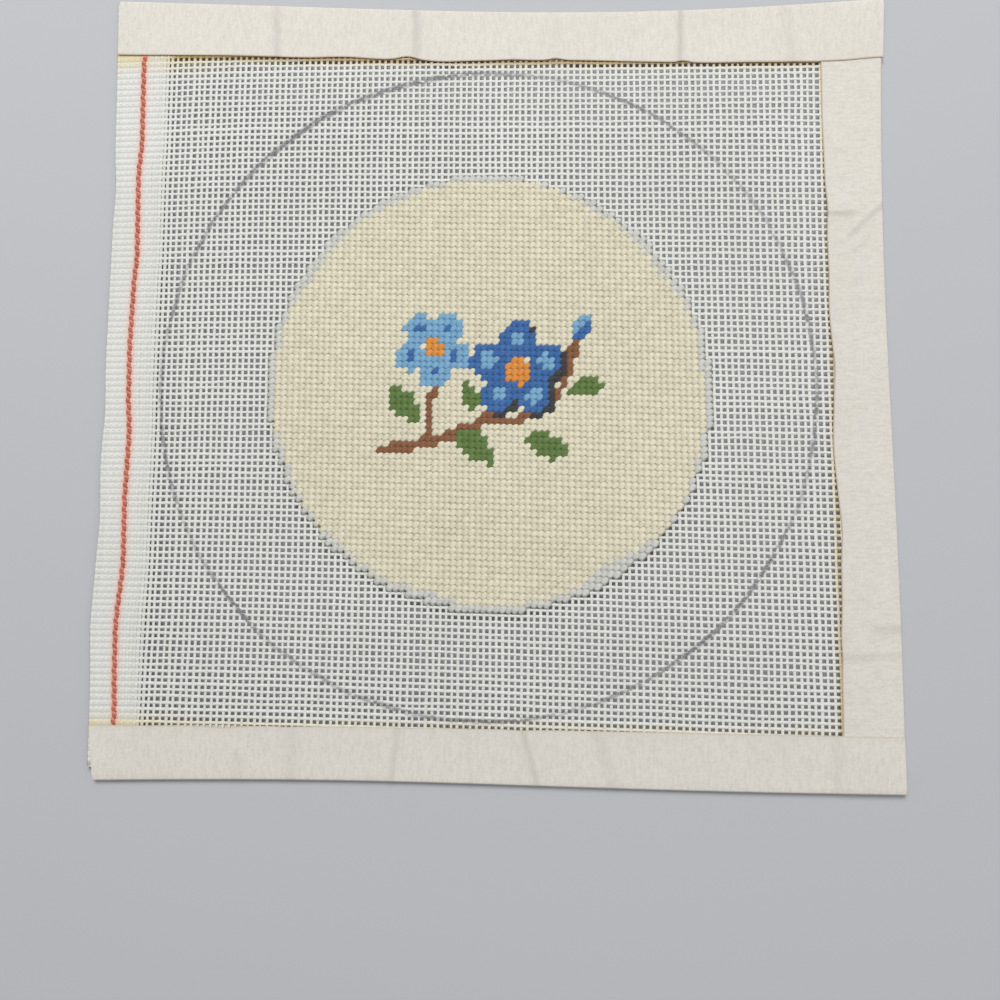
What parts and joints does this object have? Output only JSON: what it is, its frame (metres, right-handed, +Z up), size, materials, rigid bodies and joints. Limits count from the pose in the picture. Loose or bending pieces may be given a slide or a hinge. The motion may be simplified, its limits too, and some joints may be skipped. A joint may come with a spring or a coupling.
{
  "type": "needlepoint canvas panel",
  "caption": "Flat square of open-weave cotton needlepoint canvas with a wool-stitched round in the middle, selvedge on the left and paper tape folded over the other edges.",
  "frame": {"origin": "under the middle of the panel, level with the surface it lies on", "axes": "+Z up out of the stitched face, +Y towards the top edge of the picture, +X towards the taped side edge, with the selvedge at -X"},
  "size_m": [0.1814, 0.1822, 0.0036],
  "materials": {
    "canvas_cotton": "starched open mono weave of white cotton thread",
    "wool_ground": "matte cream wool in slanting tent stitches",
    "wool_back": "matte wool, long slanting stitches of the back face",
    "paper_tape": "off-white creped paper tape, matte, a little yellowed at its edges",
    "wool_rim": "matte pale grey wool",
    "wool_blue": "matte royal blue wool",
    "wool_pale_blue": "matte pale blue wool",
    "wool_black": "matte black wool",
    "wool_orange": "matte orange wool",
    "wool_green": "matte leaf green wool",
    "wool_brown": "matte brown wool",
    "tracer_thread": "twisted coral red cotton in the selvedge"
  },
  "bodies": {
    "root": {"canvas": "canvas_cotton", "stitches_front": "wool_ground", "stitches_back": "wool_back", "tape_top": "paper_tape", "tape_right": "paper_tape", "tape_bottom": "paper_tape"}
  },
  "joints": []
}
